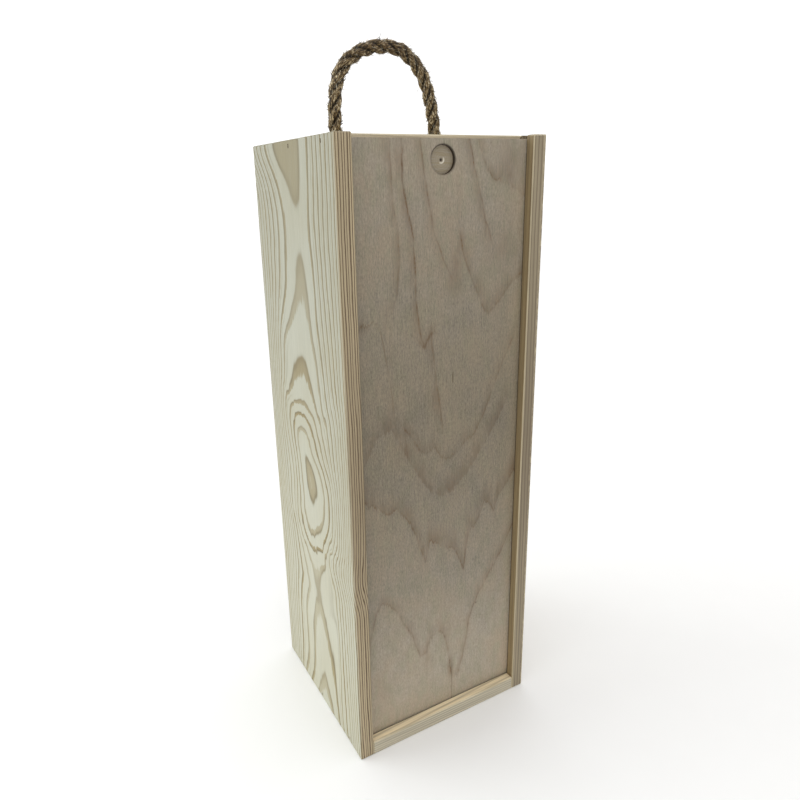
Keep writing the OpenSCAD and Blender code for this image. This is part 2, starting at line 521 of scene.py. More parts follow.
# Loose fibres stand off the strands, most of them lying back along the lay
lie_spread = 0.9
fibre_least = (0.45, -1.0, 0.15)
fibre_most = (1.5, 1.0, 1.5)
fuzz, given = geometry_tree("rope_fuzz", fuzz_numbers)
spots = fuzz.add(
    "GeometryNodeDistributePointsOnFaces",
    {"Mesh": given["Geometry"], "Density": given["Density"], "Seed": given["Seed"]},
    distribute_method="RANDOM",
)
stray, size = [
    fuzz.add(
        "FunctionNodeRandomValue",
        {0: low, 1: high, "Seed": given["Seed"]},
        data_type="FLOAT_VECTOR",
    )
    for low, high in (((-lie_spread,) * 3, (lie_spread,) * 3), (fibre_least, fibre_most))
]
lead = fuzz.vector("ADD", fuzz.kept("lead", "FLOAT_VECTOR"), stray)
lie = fuzz.add(
    "FunctionNodeAlignRotationToVector",
    {"Rotation": spots.other("Rotation"), "Vector": lead},
    axis="X",
    pivot_axis="Z",
)
reach = given["Fibre length"]
hair = fuzz.add(
    "GeometryNodeCurveQuadraticBezier",
    {
        "Resolution": 5,
        "Start": fuzz.place(0.0, 0.0, -0.2 * MM),
        "Middle": fuzz.place(reach * 0.6, reach * 0.04, 0.3 * MM),
        "End": fuzz.place(reach, reach * 0.22, reach * 0.5),
    },
)
hair_ring = fuzz.add(
    "GeometryNodeCurvePrimitiveCircle", {"Resolution": 3, "Radius": given["Fibre radius"]}
)
hairs = fuzz.add(
    "GeometryNodeInstanceOnPoints",
    {"Points": spots, "Instance": fuzz.tube(hair, hair_ring), "Rotation": lie, "Scale": size},
)
tint = fuzz.add("FunctionNodeRandomValue", {"Seed": 5}, out=1, data_type="FLOAT")
hairs = fuzz.keep(hairs, "tint", tint, domain="INSTANCE")
close_tree(fuzz, hairs, given["Material"])


start_line = line_mesh("rope_line", rope_line)
rope = grown("rope_handle_laid", start_line, strands, rope_numbers)
stray_numbers = {**fuzz_numbers, "Density": 11000.0, "Fibre length": 5.5 * MM, "Seed": 8}
rope_fuzz = grown("rope_handle_fuzz", rope.data.copy(), fuzz, fuzz_numbers)
rope_strays = grown("rope_handle_strays", rope.data.copy(), fuzz, stray_numbers)
for piece in (rope, rope_fuzz, rope_strays):
    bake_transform(piece)
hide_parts("rope_handle")


# ------------------------------------------------------------
# Rope ends: under the top board each end is tied in an overhand knot, pulled
# tight by hand, with a short cut end below it that has begun to fray.
knot_squeeze = 0.72
knot_rope_lengths = 17.0
knot_flattening = 0.84
knot_hang = 22 * MM
# Each round pulls the ends, draws them to the middle, evens the line out, and then a few
# times pushes apart what touches and brings the links back to their length. What lies nearer
# along the rope than touching_from, in its thickness, isn't pushed apart
knot_rounds = 650
end_pull = 0.08
end_centring = 0.95
evening = 0.25
pushing_apart = 0.3
pushes_per_round = 4
touching_from = 1.9


def pulled_knot(thickness, count=90):
    """Middle line of an overhand knot in rope of that thickness, pulled tight along Z."""
    place = np.linspace(-2.2, 2.2, count)
    line = np.stack([
        place ** 3 - 3 * place,
        place ** 4 - 4 * place ** 2,
        0.35 * (place ** 5 - 10 * place),
    ], 1)
    step = np.r_[0, np.cumsum(np.linalg.norm(np.diff(line, axis=0), axis=1))]
    even = np.linspace(0, step[-1], count)
    line = np.stack([np.interp(even, step, line[:, k]) for k in range(3)], 1)
    line *= knot_rope_lengths * thickness / step[-1]
    line -= line.mean(0)
    link = knot_rope_lengths * thickness / (count - 1)
    nearest = int(math.ceil(touching_from * thickness / link)) + 1
    first, second = np.triu_indices(count, nearest)
    pull = np.array([0.0, 0.0, end_pull * thickness])
    for _ in range(knot_rounds):
        line[0] += pull
        line[-1] -= pull
        line[0, :2] *= end_centring
        line[-1, :2] *= end_centring
        line[1:-1] += evening * ((line[:-2] + line[2:]) / 2 - line[1:-1])
        for _ in range(pushes_per_round):
            apart = line[first] - line[second]
            far = np.linalg.norm(apart, axis=1)
            hit = far < thickness
            push = apart[hit] / np.maximum(far[hit], 1e-9)[:, None]
            push *= ((thickness - far[hit]) * pushing_apart)[:, None]
            np.add.at(line, first[hit], push)
            np.add.at(line, second[hit], -push)
            for offset in (0, 1):
                ends = line[offset + 1::2]
                starts = line[offset:-1:2][:len(ends)]
                link_vector = ends - starts
                size = np.linalg.norm(link_vector, axis=1)
                move = link_vector * ((size - link) / size / 2)[:, None]
                line[offset:-1:2][:len(ends)] += move
                line[offset + 1::2] -= move
    return line


knot_line = pulled_knot(rope_d * knot_squeeze)
knot_line[:, 2] *= knot_flattening
# The knot's body ends where the line starts to run straight, a rope's radius under the board
straight_end = 8
body = knot_line[straight_end:-straight_end]
board_underside = box_top - top_board_t
knot_line[:, 2] += board_underside - rope_d * knot_squeeze * 0.5 - body[:, 2].max()
hang = board_underside - knot_line[:, 2]
knot_line = knot_line[(hang > -1 * MM) & (hang < knot_hang)]

knots = []
tight_numbers = dict(rope_numbers)
tight_numbers["Strand offset"] *= 0.9
tight_numbers["Strand radius"] *= 0.92
for name, side in (("left", -1), ("right", 1)):
    line = knot_line.copy()
    line[:, :2] *= side
    line[:, 0] += side * rope_hole_x
    line[:, 1] += rope_hole_y
    start_line = line_mesh("knot_line_" + name, smooth_line(line, 2))
    knot = grown("rope_knot_" + name, start_line, strands, tight_numbers)
    frays = {**fuzz_numbers, "Seed": 11 + side}
    knot_fuzz = grown("rope_knot_fuzz_" + name, knot.data.copy(), fuzz, frays)
    for piece in (knot, knot_fuzz):
        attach(piece, "box")
    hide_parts("rope_end_" + name)
    knots += [knot, knot_fuzz]

round(line_length(rope_line), 4)


# ------------------------------------------------------------
# Side boards: two planed pine boards the full height of the box, with a
# groove near the front edge for the lid and one near the back for the panel.
wear_step = 3 * MM
wear_reach = 22 * MM
arris_round = 0.22 * MM
crest_face = (2.5 * MM) ** 2


def board_mesh(name, node, wear):
    """A copy of a board's solid with its arrises rounded, unevenly, by sanding and handling."""
    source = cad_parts[node]
    work = bmesh.new()
    work.from_mesh(source.data)
    bmesh.ops.remove_doubles(work, verts=work.verts, dist=1e-6)
    bmesh.ops.dissolve_limit(
        work, angle_limit=math.radians(1), verts=work.verts, edges=work.edges
    )
    for edge in [e for e in work.edges if e.calc_length() > 2 * wear_step]:
        cuts = int(edge.calc_length() / wear_step)
        bmesh.ops.subdivide_edges(work, edges=[edge], cuts=cuts)
    sharp = [
        e for e in work.edges
        if len(e.link_faces) == 2 and e.calc_face_angle(0) > math.radians(25)
    ]
    bmesh.ops.bevel(
        work, geom=sharp, offset=arris_round, offset_type="OFFSET", segments=2, profile=0.5,
        affect="EDGES", clamp_overlap=True,
    )
    work.normal_update()
    # Only the crest of each arris is worn, so the planed faces stay flat
    moves = []
    for vertex in work.verts:
        if not vertex.link_faces or max(f.calc_area() for f in vertex.link_faces) >= crest_face:
            continue
        dip = noise.noise(vertex.co / wear_reach)
        dip += 0.6 * noise.noise(vertex.co / (wear_reach * 0.3))
        moves.append((vertex, vertex.normal * (-wear * min(max(dip + 0.1, 0.0), 1.0))))
    for vertex, move in moves:
        vertex.co += move
    mesh = bpy.data.meshes.new(name)
    work.to_mesh(mesh)
    work.free()
    return placed(name, mesh)


def object_place(finish):
    """Where a point is on its piece at rest, in millimetres: x, y and z."""
    return finish.parts(finish.vector("SCALE", finish.coordinates("Object"), 1 / MM))


def drawn_curve(finish, value, points, span, reach, handle="AUTO_CLAMPED"):
    """A line through drawn points: value runs over span, the result over reach."""
    (low, high), (least, most) = span, reach
    places = [((x - low) / (high - low), (y - least) / (most - least)) for x, y in points]
    share = (value - low) / (high - low)
    drawn = finish.add("ShaderNodeFloatCurve", {"Value": share}, line=(places, handle))
    return drawn * (most - least) + least


# Rings that cross the left board's middle line, counted from the top of the board down
heart_rings = [
    (0, -0.60), (15, -0.56), (24, -0.5), (45, -0.27), (62, -0.45), (80, -0.62), (95, -0.88),
    (115, -1.4), (128, -1.72), (142, -2.5), (150, -3.5), (158, -4.45), (173, -5.42), (188, -5.66),
    (203, -5.4), (226, -4.55), (236, -3.6), (248, -2.7), (256, -2.47), (268, -2.42), (280, -2.6),
    (300, -2.95), (326, -3.45), (350, -3.95),
]
# Rings met going sideways from the middle line, from the back edge to the front edge
side_rings = [
    (0, 7.7), (4, 6.75), (9, 5.75), (13.5, 4.75), (19, 3.75), (25, 2.75), (32, 1.75), (41, 0.75),
    (48, 0.25), (58, 0), (67, 0.22), (76, 0.75), (85, 1.75), (91, 2.75), (96.5, 3.75),
    (102.5, 4.75), (107, 5.75), (111, 6.75), (114, 7.5),
]
# How far the tips of the arches stand off the middle line
heart_lean = [
    (0, 4), (40, 4.5), (62, 5), (90, 2), (115, -1), (141, -3), (158, -5), (178, -1), (200, 1),
    (227, -4), (240, -1), (262, 1), (272, 3), (326, 2), (350, 2),
]
# Swirls round old twigs: across, down, their half widths, and rings gained or lost
swirls = [
    (30, 190, 14, 35, 2.2), (87, 162, 14, 22, 1.9), (70, 170, 9, 12, 0.45),
    (28, 115, 14, 28, -1.05), (38, 328, 14, 30, 0.8), (47, 224, 8, 8, 0.35),
]
heart_line = 58.0
ring_depth = 1.4


def plain_sawn_rings(pine, across, down, inward):
    """Growth rings of the left board, sawn close to the heart of the tree."""
    ripple = pine.mottle(across / 5.0, inward / 5.0, down / 16.0, 3.0, 0.6) - 0.5
    sway = pine.mottle(across / 26.0, inward / 26.0, down / 55.0, 1.0) - 0.5
    across = across + ripple * 1.6 + sway * 3.0
    near_heart = across.bell(heart_line, 24.0)
    across = across - drawn_curve(pine, down, heart_lean, (0, 350), (-5, 5)) * near_heart
    fan = down.bell(0.0, 17.0) * 17.0
    across = across + fan * across.fall(44.0, 62.0)
    away = across - heart_line
    stretch = away * away * (7.0 / 900.0) * down.rise(50.0, 90.0)
    # A hidden twig pushes the rings near the front edge aside, two thirds of the way down
    push = (down.rise(230.0, 254.0) * 1.4 - down.bell(229.0, 11.0) * 0.8) * across.rise(72.0, 90.0)
    push = push * (1.0 - down.rise(275.0, 345.0) * across.fall(88.0, 104.0))
    jags = pine.mottle(across / 5.5, inward / 5.5, down / 80.0 + 2.0, 2.0, 0.6) - 0.5
    uneven_down = down + jags * (4.0 + down.rise(140.0, 200.0) * 7.0)
    count = drawn_curve(pine, uneven_down + stretch, heart_rings, (0, 350), (-6, 0))
    fade = 1.0 - abs(away).rise(28.0, 60.0) * 0.85
    rings = count * fade + drawn_curve(pine, across, side_rings, (0, 114), (0, 8))
    for middle, level_down, width, length, gain in swirls:
        rings = rings + across.bell(middle, width) * down.bell(level_down, length) * gain
    # The rings are pinched together where two arches meet tip to tip
    rings = rings + down.bell(266.0, 17.0) * across.fall(44.0, 56.0) * 0.42
    uneven = pine.mottle(inward / 2.2, across / 90.0, 3.0, 2.0) - 0.5
    return rings - push + (inward + uneven * 1.6) / ring_depth


def sawn_rings(pine, across, down, inward, pith, lean, spacing, seed):
    """Growth rings of a board sawn at that place from the pith, which leans along the board."""
    ripple = pine.mottle(across / 6.0, inward / 6.0, down / 22.0 + seed, 3.0, 0.6) - 0.5
    sway = pine.mottle(across / 40.0 + seed, inward / 40.0, down / 110.0, 1.0) - 0.5
    beside = across - pith[0] - down * lean[0] + ripple * 1.2 + sway * 8.0
    behind = inward + pith[1] - down * lean[1] + ripple * 0.5 + sway * 4.0
    return (beside * beside + behind * behind) ** 0.5 / spacing


# The cool tones, used for the left board, are partly its own colour and partly painted light: the
# cool cast of the light on its face
pine_cool = (shade(183, 181, 164), shade(175, 169, 145))
pine_warm = (shade(190, 180, 157), shade(180, 165, 136))
pine_tan = shade(136, 119, 72)
pine_line = shade(104, 90, 54)
edge_late = shade(74, 52, 27)
end_pale = shade(168, 152, 120)
end_dark = shade(128, 110, 80)
end_line = shade(92, 72, 44)
# The colour of the painted shade in the grooves
groove_shade = shade(48, 36, 20)
arris_pale = shade(226, 212, 178)
margin_tan = shade(146, 122, 82)


def edge_tint(axis, way, colour, late, dim=0.0, fade=None):
    """Faces of another colour, partly the wood's own and partly painted light and shade: the axis
    and way they face, the colour, how far the late wood shows on them, how much darker the middle
    of their length is, and how their ends differ."""
    return axis, way, colour, late, dim, fade


def pine_finish(
    name, across, down, inward, rings, grain, tones, tints=(), groove=None, gradient=(1.0, 1.0),
    fresh=0.0, margin=0.0,
):
    """Planed pine. rings takes the place across, down and into the board, in millimetres.

    gradient is how light the board is at its two ends, partly its own tone and partly painted
    light, fresh how pale and scuffed its arrises are, and margin how much of the edge's colour runs
    on to the face at its upper front.
    """
    pine = Finish(name)
    x, y, z = object_place(pine)
    axes = {"x": x, "y": y, "z": z}
    across, down, inward = [
        axes[axis] * factor + start for axis, factor, start in (across, down, inward)
    ]
    count = rings(pine, across, down, inward)
    part = count.part()
    whole = count - part
    strength = pine.mottle(whole * 0.73, down / 300.0, 4.0, 1.0)
    strength = strength.rise(0.3, 0.68) * 0.45 + 0.55
    # Long cells: pale and dark threads along the grain, at two scales
    threads = pine.mottle(across * 3.1, inward * 3.1, down * 0.05, 3.0, 0.6)
    strands = pine.mottle(across * 0.9, inward * 0.9, down * 0.014, 2.0, 0.5)
    hair = pine.mottle(across * 9.0, inward * 9.0, down * 0.16, 2.0, 0.6)
    cloudy = pine.mottle(across / 30.0, inward / 30.0, down / 60.0, 2.0)
    combed = pine.mottle(across * 0.8, inward * 0.8, down * 0.035 + 7.0, 3.0, 0.7) - 0.5
    start = part + (threads - 0.5) * 0.10 + combed * 0.38
    tan = start.rise(0.30, 0.36) * (part + combed * 0.08).fall(0.57, 0.62) * strength
    # Lines and late wood are softer where the rings lie nearly flat in the face
    foot = down.rise(228.0, 248.0)
    flat_rings = across.bell(heart_line, 17.0) * (1.0 - down.rise(140.0, 185.0) * (1.0 - foot))
    line = part.bell(0.56, 0.065) * strength * (1.0 - flat_rings * 0.6) * (combed * 1.6 + 1.0)
    tan = tan * (1.0 - flat_rings * foot * 0.45) * (strands * 0.7 + 0.65)
    # Between two strong lines most years show a second, weaker one
    weak = (count + combed * 0.25 + 0.05).part().bell(0.12, 0.07) * (1.0 - strength * 0.6)
    weak = weak * abs(across - heart_line).rise(16.0, 30.0)
    colour = pine.mix(cloudy.rise(0.3, 0.75) * 0.55, *tones)
    colour = pine.mix(tan, colour, pine_tan)
    colour = pine.mix(line.most(weak * 0.55), colour, pine_line)
    grain_tone = (threads - 0.5) * 0.28 + (strands - 0.5) * 0.20 + (hair - 0.5) * 0.30 + 1.0
    length_share = down.rise(0.0, 350.0)
    low, high = gradient
    face_tone = grain_tone * (low + length_share * (high - low))
    colour = pine.toned(colour, face_tone)
    # Resin ducts: short fine dark dashes in the late wood
    ducts = pine.mottle(across * 2.2 + 9.0, inward * 2.2, down * 0.22, 1.0).rise(0.70, 0.80)
    colour = pine.mix(ducts * 0.35, colour, pine_line)
    if margin:
        stained = across.rise(110.4, 113.0) * down.fall(60.0, 300.0) * margin
        colour = pine.mix(stained, colour, margin_tan)
    ways = dict(zip("xyz", pine.parts(pine.coordinates("Normal"))))
    # Faces that point one way take a colour of their own: partly the wood's own, partly painted
    # light and shade
    for axis, way, tint, late, dim, fade in tints:
        edge = (ways[axis] * way).rise(0.55, 0.9)
        low, high = fade or gradient
        edge_tone = (grain_tone + (strands - 0.5) * 0.45) * (low + length_share * (high - low))
        tinted = pine.toned(tint, edge_tone)
        stripes = (tan * 0.5).most(part.bell(0.52, 0.17) * (strength * 0.6 + 0.4))
        tinted = pine.mix(stripes * late, tinted, edge_late)
        if dim:
            tinted = pine.mix(down.bell(175.0, 90.0) * dim, tinted, edge_late)
        colour = pine.mix(edge, colour, tinted)
    if fresh:
        flat = abs(ways["x"]).most(abs(ways["y"])).most(abs(ways["z"]))
        arris = flat.fall(0.72, 0.92) * (combed + 0.6)
        nicks = pine.mottle(across * 1.2, inward * 1.6, down * 0.25 + 3.0, 3.0, 0.7)
        scuff = inward.fall(0.3, 2.6) * nicks.rise(0.46, 0.62)
        scuff = scuff * (ways["y"] * -1.0).rise(0.5, 0.9)
        colour = pine.mix(arris.most(scuff) * fresh, colour, arris_pale)
    # The sawn ends drink in light: darker, and speckled with open cells
    sawn = abs(ways[grain]).rise(0.8, 0.95)
    ends = pine.mix(threads.rise(0.35, 0.65), end_dark, end_pale)
    ends = pine.mix(tan.most(line) * 0.75, ends, end_line)
    colour = pine.mix(sawn * 0.85, colour, ends)
    if groove is not None:
        # Painted shade in the groove, darkest in its front corner and fainter at its open top end
        front, back = groove
        deep = inward.rise(4.0, 4.4) * (1.0 - z.rise(344.0, 348.0) * 0.8)
        inside = y.rise(front - 0.05, front + 0.05) * y.fall(back - 0.05, back + 0.05)
        colour = pine.mix(inside * deep * 0.6, colour, edge_late)
        colour = pine.mix(y.bell(front - 0.1, 0.4) * deep * 0.85, colour, groove_shade)
    height = threads * 0.35 + hair * 0.35 + tan * 0.16 - ducts * 0.4
    roughness = 0.62 - tan * 0.08 + (threads - 0.5) * 0.12 + sawn * 0.12
    return pine.surface(colour, roughness, height, 0.10 * MM, 0.55)


lid_groove = (-51.3, -46.7)
# The left board is darker at its top and lighter at its foot, partly its own tone and partly
# painted light. Its inner face is painted darker and browner as painted shade, and its front edge
# is browner, partly its own colour and partly painted shade
left_pine = pine_finish(
    "pine_left_side",
    across=("y", -1.0, 57.0), down=("z", -1.0, 350.0), inward=("x", 1.0, 61.0), grain="z",
    rings=plain_sawn_rings, tones=pine_cool, groove=lid_groove, gradient=(0.785, 1.045), margin=0.5,
    tints=[
        edge_tint("x", 1.0, shade(164, 147, 114), 0.6),
        edge_tint("y", -1.0, shade(184, 167, 135), 1.1, 0.30, (1.0, 1.0)),
    ],
)
# The right board is a little lighter towards its foot, partly its own tone and partly painted
# light. Its inner face is painted darker and browner as painted shade, lighter towards its foot,
# and its front edge is partly its own colour and partly painted shade
right_pine = pine_finish(
    "pine_right_side",
    across=("y", 1.0, 57.0), down=("z", 1.0, 0.0), inward=("x", -1.0, 61.0), grain="z",
    rings=lambda pine, a, d, i: sawn_rings(pine, a, d, i, (52.0, 60.0), (0.01, 0.012), 1.7, 5.0),
    tones=pine_warm, groove=lid_groove, gradient=(1.05, 0.95), fresh=0.7,
    tints=[
        edge_tint("y", -1.0, shade(157, 144, 119), 0.65, 0.34, (1.0, 1.0)),
        edge_tint("x", -1.0, shade(153, 134, 99), 0.3, 0.0, (1.13, 0.93)),
    ],
)
end_pine = pine_finish(
    "pine_top",
    across=("y", 1.0, 57.0), down=("x", 1.0, 52.5), inward=("z", -1.0, 350.0), grain="x",
    rings=lambda pine, a, d, i: sawn_rings(pine, a, d, i, (55.0, 60.0), (0.03, 0.06), 1.8, 9.0),
    tones=pine_warm, fresh=0.5,
    tints=[edge_tint("y", -1.0, shade(224, 211, 182), 0.3)],
)
# The bottom board's top face is painted paler, as painted light from above
sill_pine = pine_finish(
    "pine_bottom",
    across=("y", 1.0, 57.0), down=("x", -1.0, 52.5), inward=("z", 1.0, 0.0), grain="x",
    rings=lambda pine, a, d, i: sawn_rings(pine, a, d, i, (40.0, 75.0), (-0.01, 0.02), 1.5, 14.0),
    tones=pine_warm, groove=lid_groove, fresh=0.5,
    tints=[
        edge_tint("y", -1.0, shade(198, 190, 168), 0.4),
        edge_tint("z", 1.0, shade(231, 214, 180), 0.4),
    ],
)
for name, node, finish in (
    ("side_board_left_planed", "side_board_left", left_pine),
    ("side_board_right_planed", "side_board_right", right_pine),
    ("top_board_planed", "top_board", end_pine),
    ("bottom_board_planed", "bottom_board", sill_pine),
):
    board = board_mesh(name, node, 0.15 * MM)
    board.data.materials.append(finish)
    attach(board, "box")
    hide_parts(node)


# ------------------------------------------------------------
# Brads: 20 mm headed brads of dull steel wire, shot through the side boards
# into the end boards, with their heads just below the face.
steel = Finish("brad_steel")
place = steel.coordinates("Object")
spots = steel.cloud(place, 2600.0, 3.0)
dull = steel.cloud(place, 700.0, 2.0)
# The steel is very dark, partly its own dull colour and partly painted shade on the sunk heads
steel_colour = steel.mix(spots.rise(0.4, 0.65), shade(70, 66, 60), shade(38, 33, 27))
brad_steel = steel.surface(steel_colour, dull * 0.3 + 0.35, spots, 0.02 * MM, 0.5, Metallic=0.9)
for name in ("brads_left_top", "brads_left_bottom", "brads_right_top", "brads_right_bottom"):
    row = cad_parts[name]
    row.data.materials.clear()
    row.data.materials.append(brad_steel)


# ------------------------------------------------------------
# Sliding lid and back panel: 4 mm birch plywood, three plies. The lid slides
# up out of its grooves and has a finger recess cut with a spur-point bit.
# Veins of the lid's face, in millimetres across from its left and down from its top:
# a line's points, how dark it is, how dark the wood is on its upper side, and how far
level_veins = [
    ([(0, 318), (3, 275), (8, 256), (12, 252), (17, 256), (22, 262), (26, 272), (31, 281),
      (34, 290), (37, 298), (41, 297), (44, 288), (49, 284), (54, 290), (57, 301), (60, 323),
      (64, 324), (67, 315), (70, 303), (73, 285), (79, 270), (88, 257), (97, 243), (105, 228)],
     (-9, 120), 0.44, 0.12, 12.0),
    ([(0, 184), (5, 188), (9, 189), (13, 192), (17, 196), (22, 194), (26, 199), (31, 207),
      (35, 216), (38, 226), (41, 234), (44, 221), (48, 223), (55, 227), (61, 230), (65, 240),
      (68, 248), (70, 232), (72, 222), (77, 219), (80, 212), (83, 205), (87, 207), (90, 214),
      (93, 205), (99, 198), (105, 190)], (-9, 120), 0.46, 0.22, 20.0),
    ([(0, 168), (12, 150), (20, 146), (28, 162), (36, 177), (44, 188), (52, 194), (60, 193),
      (70, 184), (80, 170), (92, 152), (105, 132)], (2, 98), 0.14, 0.27, 20.0),
    ([(14, 138), (24, 142), (32, 153), (38, 163), (43, 165), (47, 162), (52, 169), (58, 171),
      (63, 169), (68, 164), (74, 162), (80, 151), (86, 136), (93, 121), (100, 108), (105, 100)],
     (22, 101), 0.46, 0.12, 10.0),
    ([(0, 96), (4, 88), (12, 87), (15, 91), (17, 101), (19, 113), (21, 128), (23, 148), (30, 190)],
     (-9, 23), 0.42, -0.20, 9.0),
    ([(50, -10), (60, 36), (66, 60), (70, 70), (75, 80), (80, 89), (83, 91), (88, 87), (94, 79),
      (100, 74), (105, 72)], (62, 120), 0.42, 0.14, 18.0),
    ([(60, -30), (70, -8), (76, 8), (80, 17), (84, 21), (92, 22), (100, 26), (105, 29)],
     (72, 120), 0.40, 0.20, 14.0),
    ([(34, 92), (38, 101), (41, 104), (44, 99), (47, 96), (52, 99)], (37, 49), 0.55, 0.10, 5.0),
]
upright_veins = [
    ([(0, 29), (20, 29), (35, 32), (48, 35), (70, 36), (85, 37), (97, 38.5), (104, 41)],
     (-4, 103), 0.60, 0.12, 5.0),
    ([(0, 22), (25, 23), (45, 26), (60, 27), (75, 25), (92, 19)], (-4, 82), 0.34, 0.14, 7.0),
    ([(0, 39), (25, 43), (45, 47), (60, 53), (74, 60)], (-4, 68), 0.44, 0.08, 4.0),
    ([(0, 68), (12, 71), (25, 75), (40, 79), (52, 84)], (-4, 52), 0.44, 0.12, 6.0),
    ([(96, 45), (104, 46), (120, 48), (140, 51), (158, 53)], (98, 154), 0.42, 0.10, 5.0),
]
# Dim or pale patches of the lid's face: across, down, their half widths, and how dark
patches = [
    (62, 62, 3.2, 15, 0.30), (57, 72, 3.5, 9, 0.16), (3, 88, 4, 4, 0.35), (2, 180, 3, 7, 0.30),
    (90, 55, 12, 10, 0.14), (97, 12, 9, 12, 0.20), (28, 158, 7, 8, 0.20), (14, 40, 8, 38, -0.12),
    (43, 70, 5, 12, -0.14), (10, 125, 5, 22, -0.10), (58, 150, 3, 13, -0.16), (42, 306, 3, 8, 0.20),
    (59, 316, 2.2, 8, 0.30), (60, 190, 8, 8, 0.10), (46, 135, 4, 6, 0.14), (12, 310, 8, 22, 0.10),
    (30, 320, 6, 18, -0.10), (84, 318, 9, 24, -0.08),
]
birch_pale = shade(160, 150, 134)
birch_tint = shade(148, 133, 113)
birch_middle = shade(134, 121, 95)
birch_green = shade(143, 138, 117)
birch_dark = shade(104, 78, 50)
birch_core = shade(150, 136, 108)
birch_end = shade(120, 102, 78)
glue_line = shade(84, 68, 48)
burn_and_shade = shade(44, 33, 20)
birch_glint = shade(226, 218, 200)


def vein(ply, along, over, points, dark, shadow, length):
    """Darkness of one vein: over is compared with the line's place at along."""
    step = 0.7
    span = (points[0][0], points[-1][0])
    reach = (min(p[1] for p in points) - 1, max(p[1] for p in points) + 1)
    line, before, after = [
        drawn_curve(ply, along + shift, points, span, reach, "VECTOR")
        for shift in (0.0, -step, step)
    ]
    slope = (after - before) / (2 * step)
    below = over - line
    near = below / (1.0 + slope * slope) ** 0.5
    sharp = near.bell(0.0, 0.5) * (dark * 0.74) + near.bell(-1.2, 3.0) * (dark * 0.30)
    return sharp + below.fall(-0.8, 0.9) * below.rise(-length, 0.0) * shadow


